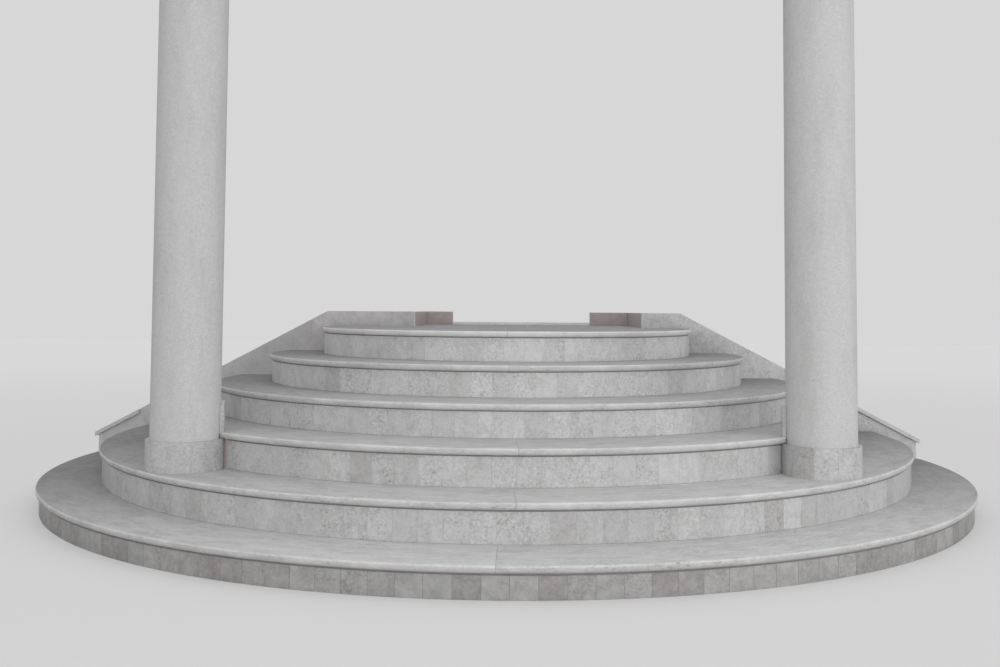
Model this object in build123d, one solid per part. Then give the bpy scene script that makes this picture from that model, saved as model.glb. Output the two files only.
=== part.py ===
from build123d import *
import math
import os

# Outdoor stone entrance steps: six concentric curved steps that climb to a landing and a
# door recess, with the two round porch columns that stand on the second step.
# Millimetres. X runs along the house wall, +Y into the house, +Z up. The origin lies on
# the ground, in the plane of the house wall, on the middle line of the steps.

# Door recess behind the wall plane: its place across the steps, its size and its door sill
RECESS_MIDDLE_X = 142
RECESS_WIDTH = 1564
RECESS_DEPTH = 917
SILL_FROM_LEFT = 214
SILL_WIDTH = 1045
SILL_DEPTH = 60
SILL_HEIGHT = 22

# Curved flight, seen in plan: every nosing is an arc about one centre in front of the wall.
# The landing reaches past the recess by a margin, and each lower step one going further.
ARC_CENTRE_Y = -290
LANDING_MARGIN = 220
GOING = 320
RISES = [140, 180, 180, 167, 167, 166]

# Stone slabs of the treads, and the thin stone that clads the risers. The risers are set
# out about a centre of their own, nearer the wall, so that the nosings overhang them more
# in front than at the ends of the steps.
SLAB_THICK = 32
FRONT_OVERHANG = 36
END_OVERHANG = 8
NOSE_TOP_ROUND = 14
NOSE_UNDER_ROUND = 9
RISER_THICK = 20
BED_GAP = 0.3

# Skirting on the wall: level past the landing, then raking down beside the steps, and
# ending on the first tread at its nosing or just short of it
SKIRT_HEIGHT = 100
SKIRT_THICK = 15
RAKE_PAST_LANDING = {"left": 76, "right": 23}
RAKE_END_INSET = {"left": 0, "right": 26}
RAKE_END_HEIGHT = 142
END_STRIP_THICK = 28

# Coping over the lower run of the rake, where the foot of the house wall is set back
COPING_THICK = 24
COPING_OVERHANG = 20
COPING_RUN = {"left": 276, "right": 710}
WALL_SETBACK = 40

# Round porch columns with a low stone band at their feet. Each stands on the second tread,
# on a bearing from the middle line, and bites into the third riser.
STEP_COUNT_BELOW_COLUMNS = 2
COLUMN_BEARING_DEGREES = 43.61
COLUMN_BITE = 26
COLUMN_RADIUS = 170
COLUMN_TOP = 3200
BAND_THICK = 20
BAND_JOINT = 4

STEPS = len(RISES)
LEVELS = [sum(RISES[:count]) for count in range(STEPS + 1)]
LANDING = LEVELS[STEPS]
RISER_CENTRE_Y = ARC_CENTRE_Y + FRONT_OVERHANG - END_OVERHANG
SKIRT_TOP = LANDING + SKIRT_HEIGHT
NOTCHED_STEP = STEP_COUNT_BELOW_COLUMNS + 1
RECESS_LEFT_X = RECESS_MIDDLE_X - RECESS_WIDTH / 2
RECESS_RIGHT_X = RECESS_MIDDLE_X + RECESS_WIDTH / 2
SILL_LEFT_X = RECESS_LEFT_X + SILL_FROM_LEFT
SILL_RIGHT_X = SILL_LEFT_X + SILL_WIDTH
LANDING_RADIUS = math.hypot(max(RECESS_RIGHT_X, -RECESS_LEFT_X) + LANDING_MARGIN, ARC_CENTRE_Y)
REACH = 2 * (LANDING_RADIUS + STEPS * GOING)
SIDES = {"left": -1, "right": 1}


def nose_radius(step):
    """Radius of a step's nosing; step 1 is the lowest."""
    return LANDING_RADIUS + GOING * (STEPS - step)


def nose_at_wall(step):
    """Distance from the middle line at which a step's nosing meets the wall."""
    return math.sqrt(nose_radius(step) ** 2 - ARC_CENTRE_Y**2)


def riser_radius(step):
    """Radius of the outer face of a step's riser."""
    return nose_radius(step) - END_OVERHANG


def core_radius(step):
    """Radius of the concrete behind a step's riser."""
    return riser_radius(step) - RISER_THICK


def disc(radius, low, high, centre_y=RISER_CENTRE_Y):
    """Upright round solid on the middle line, about the risers' centre unless told another."""
    base = Plane.XY.offset(low) * Pos(0, centre_y)
    return extrude(base * Circle(radius), high - low)


def block(x_low, x_high, y_low, y_high, z_low, z_high):
    """Box between two corners."""
    middle = Pos((x_low + x_high) / 2, (y_low + y_high) / 2, (z_low + z_high) / 2)
    return middle * Box(x_high - x_low, y_high - y_low, z_high - z_low)


def before_wall(shape):
    """What is left of a shape in front of the house wall."""
    return shape - block(-REACH, REACH, 0, REACH, -REACH, REACH)


def column_spot(side):
    """Middle of a column's foot in plan, tied to the riser that it bites into."""
    reach = riser_radius(NOTCHED_STEP) + COLUMN_RADIUS - COLUMN_BITE
    bearing = math.radians(COLUMN_BEARING_DEGREES)
    return Pos(SIDES[side] * reach * math.sin(bearing), RISER_CENTRE_Y - reach * math.cos(bearing))


def column_core(side, radius, low, high):
    """Upright round solid on a column's axis."""
    return extrude(Plane.XY.offset(low) * column_spot(side) * Circle(radius), high - low)


def clear_of_columns(shape, low, high):
    """Cut both columns' places out of a shape, with the bed gap."""
    for side in SIDES:
        shape -= column_core(side, COLUMN_RADIUS + BED_GAP, low, high)
    return shape


def rounded_slab(radius, top):
    """Round stone slab with a rounded nosing, revolved about the nosings' centre."""
    low = top - SLAB_THICK
    profile = Plane.XZ * Polyline((0, low), (radius, low), (radius, top), (0, top), close=True)
    face = make_face(profile)
    upper_corner = face.vertices().group_by(Axis.X)[-1].sort_by(Axis.Z)[-1]
    face = fillet(upper_corner, NOSE_TOP_ROUND)
    lower_corner = face.vertices().group_by(Axis.X)[-1].sort_by(Axis.Z)[0]
    face = fillet(lower_corner, NOSE_UNDER_ROUND)
    return Pos(0, ARC_CENTRE_Y) * revolve(face, Axis.Z)


def make_core(step):
    """Concrete layer that carries one step."""
    low = max(LEVELS[step - 1] - SLAB_THICK, 0)
    core = before_wall(disc(core_radius(step), low, LEVELS[step] - SLAB_THICK))
    if step == NOTCHED_STEP:
        core = clear_of_columns(core, LEVELS[STEP_COUNT_BELOW_COLUMNS], LEVELS[step])
    return core


def make_riser(step):
    """Thin curved stone on the front of a step, standing on the tread below."""
    low = LEVELS[step - 1]
    high = LEVELS[step] - SLAB_THICK
    riser = disc(riser_radius(step), low, high) - disc(core_radius(step) + BED_GAP, low, high)
    riser = before_wall(riser)
    if step == NOTCHED_STEP:
        riser = clear_of_columns(riser, low, high)
    return riser


def make_tread(step):
    """Curved stone tread that runs back under the next riser."""
    low, high = LEVELS[step] - SLAB_THICK, LEVELS[step]
    slab = rounded_slab(nose_radius(step), high)
    tread = before_wall(slab - disc(core_radius(step + 1) + BED_GAP, low, high))
    if step == NOTCHED_STEP:
        tread = clear_of_columns(tread, low, high)
    return tread


def make_landing():
    """Top slab, from its round nosing back to the wall plane."""
    return before_wall(rounded_slab(nose_radius(STEPS), LANDING))


def flight_shape(gap):
    """Outline of the whole flight, swollen by a gap, to fit stone against it."""
    shape = None
    for step in range(1, STEPS + 1):
        under = disc(riser_radius(step) + gap, LEVELS[step - 1], LEVELS[step] - SLAB_THICK)
        slab = disc(nose_radius(step) + gap, LEVELS[step] - SLAB_THICK, LEVELS[step], ARC_CENTRE_Y)
        shape = under + slab if shape is None else shape + under + slab
    return shape


def rake_ends(side):
    """Distances from the middle line at which a side's rake starts and ends."""
    return nose_at_wall(STEPS) + RAKE_PAST_LANDING[side], nose_at_wall(1) - RAKE_END_INSET[side]


def rake_slope(side):
    """Fall of a side's rake for each unit along the wall."""
    start, end = rake_ends(side)
    return (SKIRT_TOP - LEVELS[1] - RAKE_END_HEIGHT) / (end - start)


def rake_height(side, x):
    """Height of the rake's upper edge at a distance from the middle line."""
    return SKIRT_TOP - rake_slope(side) * (x - rake_ends(side)[0])


def wall_panel(side, points, y_low, y_high):
    """Upright panel parallel to the wall, from points of its right-hand shape."""
    outline = [(SIDES[side] * x, z) for x, z in points]
    face = Plane.XZ.offset(-y_high) * make_face(Polyline(*outline, close=True))
    return extrude(face, y_high - y_low)


def coping_under(side, x):
    """Height of the coping's lower face at a distance from the middle line."""
    return rake_height(side, x) - COPING_THICK * math.hypot(1, rake_slope(side))


def make_skirting(side, recess_x):
    """Wall skirting beside the steps, cut to sit on every tread."""
    start_x, end_x = rake_ends(side)
    strip_x = end_x - END_STRIP_THICK
    coping_x = end_x - COPING_RUN[side]
    points = [
        (recess_x, SKIRT_TOP),
        (start_x, SKIRT_TOP),
        (coping_x, rake_height(side, coping_x)),
        (coping_x, coping_under(side, coping_x)),
        (strip_x, coping_under(side, strip_x)),
        (strip_x, LEVELS[1]),
        (recess_x, LEVELS[1]),
    ]
    return wall_panel(side, points, -SKIRT_THICK, 0) - flight_shape(BED_GAP)


def make_coping(side):
    """Thin stone cap on the lower run of the rake."""
    end_x = rake_ends(side)[1]
    coping_x = end_x - COPING_RUN[side]
    tip_x = end_x + COPING_OVERHANG
    points = [
        (coping_x, rake_height(side, coping_x)),
        (tip_x, rake_height(side, tip_x)),
        (tip_x, coping_under(side, tip_x)),
        (coping_x, coping_under(side, coping_x)),
    ]
    return wall_panel(side, points, -SKIRT_THICK - COPING_OVERHANG, WALL_SETBACK)


def make_end_strip(side):
    """Upright stone that closes the lower end of the skirting, standing on the first tread."""
    end_x = rake_ends(side)[1]
    strip_x = end_x - END_STRIP_THICK
    points = [
        (strip_x, coping_under(side, strip_x)),
        (end_x, coping_under(side, end_x)),
        (end_x, LEVELS[1]),
        (strip_x, LEVELS[1]),
    ]
    return wall_panel(side, points, -SKIRT_THICK, 0)


def make_fill(side):
    """Masonry under the coping, between the skirting and the set-back foot of the wall."""
    end_x = rake_ends(side)[1]
    coping_x = end_x - COPING_RUN[side]
    points = [
        (coping_x, coping_under(side, coping_x)),
        (end_x, coping_under(side, end_x)),
        (end_x, 0),
        (coping_x, 0),
    ]
    return wall_panel(side, points, 0, WALL_SETBACK)


def make_column(side):
    """Plain round shaft that stands on the second tread and runs up to the porch roof."""
    return column_core(side, COLUMN_RADIUS, LEVELS[STEP_COUNT_BELOW_COLUMNS], COLUMN_TOP)


def make_band(side, low, high):
    """Stone band round a column's foot, a little clear of the shaft."""
    outer = column_core(side, COLUMN_RADIUS + BAND_THICK, low, high)
    return outer - column_core(side, COLUMN_RADIUS + BED_GAP, low, high)


def make_lower_band(side):
    """Band on the second tread, whose ends stop at the third riser."""
    low = LEVELS[STEP_COUNT_BELOW_COLUMNS]
    high = LEVELS[NOTCHED_STEP] - SLAB_THICK
    return make_band(side, low, high) - disc(riser_radius(NOTCHED_STEP) + BAND_JOINT, low, high)


def make_upper_band(side):
    """Band on the third tread, which runs round the back of the column."""
    low = LEVELS[NOTCHED_STEP]
    high = low + RISES[STEP_COUNT_BELOW_COLUMNS] - SLAB_THICK
    reach = nose_radius(NOTCHED_STEP) - NOSE_TOP_ROUND
    return make_band(side, low, high) & disc(reach, low, high, ARC_CENTRE_Y)


parts = {}
for step in range(1, STEPS + 1):
    parts[f"core_step_{step}"] = make_core(step)
    parts[f"riser_{step}"] = make_riser(step)
for step in range(1, STEPS):
    parts[f"tread_{step}"] = make_tread(step)
parts["landing"] = make_landing()

parts["core_recess"] = block(RECESS_LEFT_X, RECESS_RIGHT_X, 0, RECESS_DEPTH, 0, LANDING - SLAB_THICK)
parts["recess_floor"] = block(
    RECESS_LEFT_X, RECESS_RIGHT_X, 0, RECESS_DEPTH, LANDING - SLAB_THICK, LANDING
)
parts["door_sill"] = block(
    SILL_LEFT_X, SILL_RIGHT_X, RECESS_DEPTH - SILL_DEPTH, RECESS_DEPTH, LANDING, LANDING + SILL_HEIGHT
)

parts["recess_skirting_left"] = block(
    RECESS_LEFT_X, RECESS_LEFT_X + SKIRT_THICK, 0, RECESS_DEPTH, LANDING, SKIRT_TOP
)
parts["recess_skirting_right"] = block(
    RECESS_RIGHT_X - SKIRT_THICK, RECESS_RIGHT_X, 0, RECESS_DEPTH, LANDING, SKIRT_TOP
)
parts["door_skirting_left"] = block(
    RECESS_LEFT_X + SKIRT_THICK, SILL_LEFT_X, RECESS_DEPTH - SKIRT_THICK, RECESS_DEPTH, LANDING, SKIRT_TOP
)
parts["door_skirting_right"] = block(
    SILL_RIGHT_X, RECESS_RIGHT_X - SKIRT_THICK, RECESS_DEPTH - SKIRT_THICK, RECESS_DEPTH, LANDING, SKIRT_TOP
)

recess_edges = {"left": -RECESS_LEFT_X - SKIRT_THICK, "right": RECESS_RIGHT_X - SKIRT_THICK}
for side in SIDES:
    parts[f"skirting_{side}"] = make_skirting(side, recess_edges[side])
    parts[f"coping_{side}"] = make_coping(side)
    parts[f"skirting_end_{side}"] = make_end_strip(side)
    parts[f"skirting_fill_{side}"] = make_fill(side)
    parts[f"column_{side}"] = make_column(side)
    parts[f"column_band_{side}"] = make_lower_band(side)
    parts[f"column_upper_band_{side}"] = make_upper_band(side)

os.makedirs("parts", exist_ok=True)
for name, shape in parts.items():
    export_step(shape, f"parts/{name}.step")
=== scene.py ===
"""Curved stone entrance steps: the stones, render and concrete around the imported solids.

Metres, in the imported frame: +X to the right, +Y from the lowest step in to the recess, +Z up.
Treads and risers end at the flight's back plane, y = 0. Every curved course is first laid out
flat, with x along the course, y in from its outer face and z up, and is then wrapped about its
own centre, so one layout serves treads, risers and bands. Bearings are taken about a course's
centre from its foremost point, positive to the right.
"""

import logging
import math
import random
from collections.abc import Callable
from dataclasses import dataclass, replace
from enum import Enum
from functools import partial

import bmesh
import bpy
from mathutils import Matrix, Vector


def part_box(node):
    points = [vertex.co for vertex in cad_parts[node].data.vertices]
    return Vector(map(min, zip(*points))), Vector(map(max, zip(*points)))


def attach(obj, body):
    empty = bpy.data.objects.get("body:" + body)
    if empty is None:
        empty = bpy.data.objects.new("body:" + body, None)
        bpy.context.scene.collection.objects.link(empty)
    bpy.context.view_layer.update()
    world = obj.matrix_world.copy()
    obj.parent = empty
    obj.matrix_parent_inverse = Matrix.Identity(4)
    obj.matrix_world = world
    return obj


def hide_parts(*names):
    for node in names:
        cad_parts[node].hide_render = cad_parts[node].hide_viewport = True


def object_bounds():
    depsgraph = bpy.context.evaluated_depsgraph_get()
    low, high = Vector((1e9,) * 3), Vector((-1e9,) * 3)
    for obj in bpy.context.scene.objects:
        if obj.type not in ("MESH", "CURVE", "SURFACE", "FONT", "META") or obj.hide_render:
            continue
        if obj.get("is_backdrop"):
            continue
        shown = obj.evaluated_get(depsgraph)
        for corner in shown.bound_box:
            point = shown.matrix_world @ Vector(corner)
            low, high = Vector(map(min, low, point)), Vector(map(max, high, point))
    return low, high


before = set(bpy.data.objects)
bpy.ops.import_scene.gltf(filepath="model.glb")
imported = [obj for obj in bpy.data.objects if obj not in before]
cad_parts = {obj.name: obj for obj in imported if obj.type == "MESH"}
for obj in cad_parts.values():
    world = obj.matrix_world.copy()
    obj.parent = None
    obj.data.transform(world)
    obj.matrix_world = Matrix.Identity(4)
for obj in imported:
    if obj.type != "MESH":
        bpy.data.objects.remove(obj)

log = logging.getLogger("steps")

Point2 = tuple[float, float]
Point3 = tuple[float, float, float]
Tree = bpy.types.NodeTree
Socket = bpy.types.NodeSocket
Piece = bpy.types.Object
Material = bpy.types.Material
Mesh = bmesh.types.BMesh
Adder = Callable[..., Socket]

BODY = "root"
MM = 0.001
METRE = 1 / MM
STEPS = 6
NOTCHED_STEP = 3
SIDES = {"left": -1, "right": 1}
FLIGHT_HEIGHTS = (0.14, 1.0)  # of the lowest tread and of the landing
LIGHTEST_BEARING = math.radians(8)  # where the treads' tops are lightest, away from their darker ends
CHIP_BEARINGS = (-13.5, 12.9, 14.8, 15.5)  # in degrees, on the lowest nosing
CHIP_INSET = 12 * MM
BACK_GAP = 0.3 * MM  # between a tile and the concrete behind it
HEAD_GAP = 0.2 * MM  # between a riser's mortar and the tread above
BED_END_GAP = 1.5 * MM  # between a bed's end and the back plane
WELD = 1e-6  # points closer than this are one
FLAT = math.radians(0.5)  # faces that turn less than this are one
FAR = 100.0  # beyond every stone
ROUND_STEPS = 5  # facets of a quarter round

MATH = "ShaderNodeMath"
VECTOR_MATH = "ShaderNodeVectorMath"
RANGE = "ShaderNodeMapRange"  # takes a value, its low and high, and what these give
NOISE = "ShaderNodeTexNoise"
AXES = "ShaderNodeSeparateXYZ"
PLACE = "ShaderNodeTexCoord"
RANDOM = "FunctionNodeRandomValue"
COURSE_INPUTS = {
    "Geometry": "Geometry", "Stone": "Object", "Bed": "Object", "Count": "Int", "Start": "Float",
    "Pitch": "Float", "Joint": "Float", "Spread": "Float", "Lippage": "Float", "Radius": "Float",
    "Centre": "Vector", "Seed": "Int", "Stone Finish": "Material", "Bed Finish": "Material",
}
SHAFT_INPUTS = {
    "Geometry": "Geometry", "Radius": "Float", "Height": "Float", "Foot": "Vector",
    "Undulation": "Float", "Finish": "Material",
}


class Grain(Enum):
    """Which way the veins of a stone run, in its flat layout."""

    ALONG = "along"
    UPRIGHT = "upright"


def linear(hex_colour: str) -> tuple[float, float, float, float]:
    """Turn an sRGB hex colour into linear values.

    Args:
        hex_colour: Six hex digits, such as "b4b2ae".

    Returns:
        Linear red, green and blue, with an alpha of one.
    """
    values = []
    for place in (0, 2, 4):
        part = int(hex_colour[place : place + 2], 16) / 255
        values.append(part / 12.92 if part <= 0.04045 else ((part + 0.055) / 1.055) ** 2.4)
    return (*values, 1.0)


def add_node(tree: Tree, kind: str, inputs: tuple | dict = (), output: int | str = 0, **settings) -> Socket:
    """Add one node with its settings, values and links.

    Args:
        tree: The tree that takes the node.
        kind: The node's type name.
        inputs: Values or sockets for its inputs, in their order, or by name or number.
        output: Which of its outputs is wanted.
        **settings: The node's own settings.

    Returns:
        The socket of that output, or None from a node without outputs.
    """
    node = tree.nodes.new(kind)
    for name, value in settings.items():
        setattr(node, name, value)
    pairs = inputs.items() if isinstance(inputs, dict) else enumerate(inputs)
    for key, value in pairs:
        if isinstance(value, Socket):
            tree.links.new(value, node.inputs[key])
        else:
            node.inputs[key].default_value = value
    return node.outputs[output] if node.outputs else None


def lay_colours(add: Adder, colour: Socket | tuple, *layers: tuple[Socket, str]) -> Socket:
    """Lay colours over one another.

    Args:
        add: Adds a node to the material.
        colour: The lowest colour.
        *layers: How much of each further colour shows, and its hex value.

    Returns:
        The socket of the colour that shows.
    """
    for amount, above in layers:
        colour = add("ShaderNodeMix", {0: amount, 6: colour, 7: linear(above)}, 2, data_type="RGBA")
    return colour


@dataclass(frozen=True)
class Finish:
    """A finish, whose pattern gives the inputs of its one shader."""

    name: str

    def build(self) -> Material:
        """Make the material.

        Returns:
            The finished material.
        """
        material = bpy.data.materials.new(self.name)
        material.use_nodes = True
        material.node_tree.nodes.clear()
        add = partial(add_node, material.node_tree)
        shader = add("ShaderNodeBsdfPrincipled", self.pattern(add))
        add("ShaderNodeOutputMaterial", {"Surface": shader})
        return material

    def pattern(self, add: Adder) -> dict:
        """Lay the pattern out as the shader's inputs, which every finish does in its own way."""
        raise NotImplementedError


@dataclass(frozen=True)
class TravertineFinish(Finish):
    """Honed pale travertine: a dense grey lime stone with soft clouds and veins, a sandy grain,
    and on some stones loose clusters of small dark pores. It was cut, glued up and honed, so
    it is matt with a slight sheen at low angles. Each stone has its own tone and its own piece
    of the pattern. The grain is drawn at 9 to 12 mm, coarser than it is, so that it shows.
    Height shade darkens a stone by its height, from the lowest tread to the landing: on the
    treads it is painted shade of the porch roof over the high ones, on the landing painted shade
    and a painted reflection of a dark door, and the tiles are darker towards the foot of the
    flight. Splashes of dirt grey the lowest tiles near the ground. Facing shade is painted light
    and shade by facing: a nosing's underside and front darker, its top a little lighter. Ends
    gives a tread's shade at its two ends, for the foot of the flight and for its top: painted
    shade of the house wall and porch roof, with some dust. Dirt fills the few chips that the
    marks give."""

    grain: Grain
    base: str = "c8c8c8"
    pale: str = "dadad9"
    dark: str = "aeaead"
    stain: str = "bab5b5"
    pore: str = "68645f"
    soil: str = "83827f"
    tone_spread: float = 0.075
    stain_share: float = 0.12
    cloud_mm: float = 55.0
    vein_mm: float = 22.0
    grit_mm: float = 12.0
    pore_mm: float = 9.0
    stretch: float = 1.1
    porous_share: float = 0.32
    plain_porosity: float = 0.15
    pore_depth: float = 0.4
    vein_share: float = 0.45
    mottle: float = 0.12
    roughness: float = 0.45
    gloss: float = 0.5
    soil_height: float = 0.0
    relief: float = 0.6
    relief_depth: float = 0.8 * MM
    # painted shade by height, from the lowest tread to the landing: darker on the high treads and the
    # landing; tiles darker towards the foot
    height_shade: Point2 = (0.88, 1.06)
    # painted light and shade by facing: a nosing's underside and front darker, upward faces a little lighter
    facing_shade: Point2 | None = None
    # shade at a tread's ends, at the foot and at the top of the flight: painted shade of the house wall and
    # porch roof, with some dust
    ends: Point2 = (1.0, 1.0)
    centre: Point2 = (0.0, 0.0)
    marks: tuple[Point3, ...] = ()
    mark_size: float = 12 * MM

    def pattern(self, add: Adder) -> dict:
        """Lay the pattern out.

        Args:
            add: Adds a node to the material.

        Returns:
            Values or sockets for the shader's inputs, by name.
        """
        place = add("ShaderNodeAttribute", output="Vector", attribute_name="grain")
        tone = add("ShaderNodeAttribute", output="Fac", attribute_name="tone")
        tint = add("ShaderNodeAttribute", output="Fac", attribute_name="tint")
        squeeze = 1 / self.stretch
        scale = (squeeze, 1, 1) if self.grain is Grain.ALONG else (1, 1, squeeze)
        streaked = add("ShaderNodeMapping", {"Vector": place, "Scale": scale})
        cloud = add(NOISE, {"Vector": streaked, "Scale": METRE / self.cloud_mm, "Detail": 5.0,
                            "Roughness": 0.6, "Distortion": 0.5})
        vein = add(NOISE, {"Vector": streaked, "Scale": METRE / self.vein_mm, "Detail": 5.0,
                           "Roughness": 0.62, "Distortion": 1.2})
        grit = add(NOISE, {"Vector": place, "Scale": METRE / self.grit_mm, "Detail": 4.0, "Roughness": 0.7})

        pit = self.pores(add, streaked, tint)
        stained = add(RANGE, (tone, self.stain_share, 0.4 * self.stain_share, 0, 1.1))
        patchy = add(RANGE, (cloud, 0.35, 0.6, 0.1, 0.6))
        colour = lay_colours(
            add, linear(self.base),
            (add(RANGE, (cloud, 0.4, 0.66, 0, 0.6)), self.dark),
            (add(RANGE, (vein, 0.48, 0.66, 0, self.vein_share)), self.pale),
            (add(MATH, (stained, patchy), operation="MULTIPLY"), self.stain),
            (add(MATH, (pit, self.pore_depth), operation="MULTIPLY"), self.pore),
        )
        if self.soil_height:
            colour = lay_colours(add, colour, (self.splashes(add, cloud), self.soil))
        chips = [(self.chip(add, vein, mark), self.pore) for mark in self.marks]
        colour = lay_colours(add, colour, *chips)
        shade = add(RANGE, (tone, 0, 1, 1 - self.tone_spread, 1 + self.tone_spread))
        # mottling, then painted shade by height, by facing and towards a tread's ends
        for other in (self.mottled(add, grit, cloud, tint), self.dust_and_painted_shade(add)):
            shade = add(MATH, (shade, other), operation="MULTIPLY")

        rough = add(RANGE, (vein, 0.25, 0.75, self.roughness - 0.06, self.roughness + 0.1))
        grainy = add(MATH, (grit, 0.35), operation="MULTIPLY")
        height = add(MATH, (grainy, pit), operation="SUBTRACT")
        return {
            "Base Color": add(VECTOR_MATH, {0: colour, 3: shade}, operation="SCALE"),
            "Roughness": rough,
            "IOR": 1.49,
            "Specular IOR Level": self.gloss,
            "Normal": add("ShaderNodeBump", {
                "Strength": self.relief, "Distance": self.relief_depth, "Height": height}),
        }

    def mottled(self, add: Adder, grit: Socket, cloud: Socket, tint: Socket) -> Socket:
        """Fine light and dark mottling, which is patchy, and twice as strong on a porous stone.

        Args:
            add: Adds a node to the material.
            grit: The socket of a fine pattern.
            cloud: The socket of a cloudy pattern.
            tint: The socket of the stone's own random value.

        Returns:
            The socket of the shade, about one.
        """
        edge = 1 - self.porous_share
        strength = add(RANGE, (tint, edge - 0.1, edge + 0.1, self.mottle, 2 * self.mottle))
        for factor in (add(RANGE, (cloud, 0.4, 0.6, 0.45, 1.15)), add(RANGE, (grit, 0.32, 0.68, -1, 1))):
            strength = add(MATH, (strength, factor), operation="MULTIPLY")
        return add(MATH, (1.0, strength), operation="ADD")

    def dust_and_painted_shade(self, add: Adder) -> Socket:
        """Shade by height: on a tile all over, darker towards the foot of the flight, and on a tread
        on its top alone, as painted shade of the porch roof. A tread with a facing shade also gets
        painted shade towards its ends, and painted light and shade on its nosing by facing.

        Args:
            add: Adds a node to the material.

        Returns:
            The socket of the shade.
        """
        spot = add(PLACE, output="Object")
        height = add(AXES, (spot,), 2)
        # painted shade by height
        shade = add(RANGE, (height, *FLIGHT_HEIGHTS, *self.height_shade))
        if not self.facing_shade:
            return shade
        facing = add(AXES, (spot.node.outputs["Normal"],), 2)
        upward = add(RANGE, (facing, 0.8, 0.98, 0, 1))
        # painted shade towards the tread's ends, with some dust
        shade = add(MATH, (shade, self.dust_and_shade_towards_ends(add, spot, height)), operation="MULTIPLY")
        change = add(MATH, (shade, 1.0), operation="SUBTRACT")
        change = add(MATH, (change, upward), operation="MULTIPLY")
        shade = add(MATH, (1.0, change), operation="ADD")
        # painted shade on the nosing's underside and front, painted light on upward faces
        return add(MATH, (shade, add(RANGE, (facing, -0.6, 0.5, *self.facing_shade))), operation="MULTIPLY")

    def dust_and_shade_towards_ends(self, add: Adder, spot: Socket, height: Socket) -> Socket:
        """Shade of a tread's top, from its light middle to its darker ends: painted shade of the house wall
        and porch roof, with some dust.

        Args:
            add: Adds a node to the material.
            spot: The socket of the position.
            height: The socket of its height.

        Returns:
            The socket of the shade.
        """
        middle = (math.sin(LIGHTEST_BEARING), -math.cos(LIGHTEST_BEARING), 0)
        arm = add(VECTOR_MATH, (spot, (*self.centre, 0)), operation="SUBTRACT")
        level = add(VECTOR_MATH, (arm, (1, 1, 0)), operation="MULTIPLY")
        unit = add(VECTOR_MATH, (level,), operation="NORMALIZE")
        nearness = add(VECTOR_MATH, (unit, middle), "Value", operation="DOT_PRODUCT")
        # darkness at the ends: painted shade, with some dust
        end_dust_and_shade = add(RANGE, (height, *FLIGHT_HEIGHTS, *self.ends))
        return add(RANGE, (nearness, 0.1, 0.9, end_dust_and_shade, 1.0))

    def pores(self, add: Adder, place: Socket, tint: Socket) -> Socket:
        """Small ragged holes in clusters, many on a porous stone and few on the others.

        Args:
            add: Adds a node to the material.
            place: The socket of the stretched position.
            tint: The socket of the stone's own random value.

        Returns:
            The socket of the holes, one inside a hole and zero outside.
        """
        holes = add(NOISE, {"Vector": place, "Scale": METRE / self.pore_mm, "Detail": 3.0, "Roughness": 0.5})
        cluster = add(NOISE, {"Vector": place, "Scale": METRE / (1.3 * self.cloud_mm), "Detail": 3.0,
                              "Roughness": 0.6})
        edge = 1 - self.porous_share
        porosity = add(RANGE, (tint, edge - 0.05, edge + 0.05, self.plain_porosity, 1.0))
        richness = add(MATH, (porosity, add(RANGE, (cluster, 0.42, 0.6, 0, 1))), operation="MULTIPLY")
        limit = add(RANGE, (richness, 0, 1, 0.74, 0.57))
        return add(RANGE, (add(MATH, (holes, limit), operation="SUBTRACT"), 0, 0.08, 0, 1))

    def splashes(self, add: Adder, cloud: Socket) -> Socket:
        """Splashed dirt that is thickest near the ground.

        Args:
            add: Adds a node to the material.
            cloud: The socket of a cloudy pattern, which breaks the edge up.

        Returns:
            The socket of the dirt's share.
        """
        height = add(AXES, (add(PLACE, output="Object"),), 2)
        fade = add(RANGE, (height, 0, self.soil_height, 1.0, 0.6))
        return add(MATH, (fade, add(RANGE, (cloud, 0.3, 0.65, 0.35, 0.85))), operation="MULTIPLY")

    def chip(self, add: Adder, ragged: Socket, mark: Point3) -> Socket:
        """Small ragged chip, filled with dirt.

        Args:
            add: Adds a node to the material.
            ragged: The socket of a fine pattern, which breaks the edge up.
            mark: The chip's place, in metres.

        Returns:
            The socket of the dirt's share.
        """
        away = add(VECTOR_MATH, (add(PLACE, output="Object"), mark), "Value", operation="DISTANCE")
        fray = add(MATH, (ragged, 4 * self.mark_size), operation="MULTIPLY")
        edge = add(MATH, (away, fray), operation="ADD")
        return add(RANGE, (edge, 2.2 * self.mark_size, 3.2 * self.mark_size, 0.8, 0))


@dataclass(frozen=True)
class GroutFinish(Finish):
    """Cement grout and bedding mortar: fine sand in cement, struck a little below the stone,
    so it reads as a thin, dull, slightly darker line. The sand is drawn at 5 mm, coarser than
    it is, so that it shows."""

    colour: str
    grit_mm: float = 5.0
    patch_mm: float = 110.0
    relief_depth: float = 0.8 * MM

    def pattern(self, add: Adder) -> dict:
        """Lay the pattern out.

        Args:
            add: Adds a node to the material.

        Returns:
            Values or sockets for the shader's inputs, by name.
        """
        spot = add(PLACE, output="Object")
        grit = add(NOISE, {"Vector": spot, "Scale": METRE / self.grit_mm, "Detail": 5.0, "Roughness": 0.7})
        patch = add(NOISE, {"Vector": spot, "Scale": METRE / self.patch_mm, "Detail": 3.0, "Roughness": 0.5})
        sandy = add(RANGE, (grit, 0.3, 0.7, 0.85, 1.06))
        shade = add(MATH, (sandy, add(RANGE, (patch, 0.3, 0.7, -0.1, 0.1))), operation="ADD")
        return {
            "Base Color": add(VECTOR_MATH, {0: linear(self.colour)[:3], 3: shade}, operation="SCALE"),
            "Roughness": 0.9,
            "Normal": add("ShaderNodeBump", {
                "Strength": 0.6, "Distance": self.relief_depth, "Height": grit}),
        }


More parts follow.
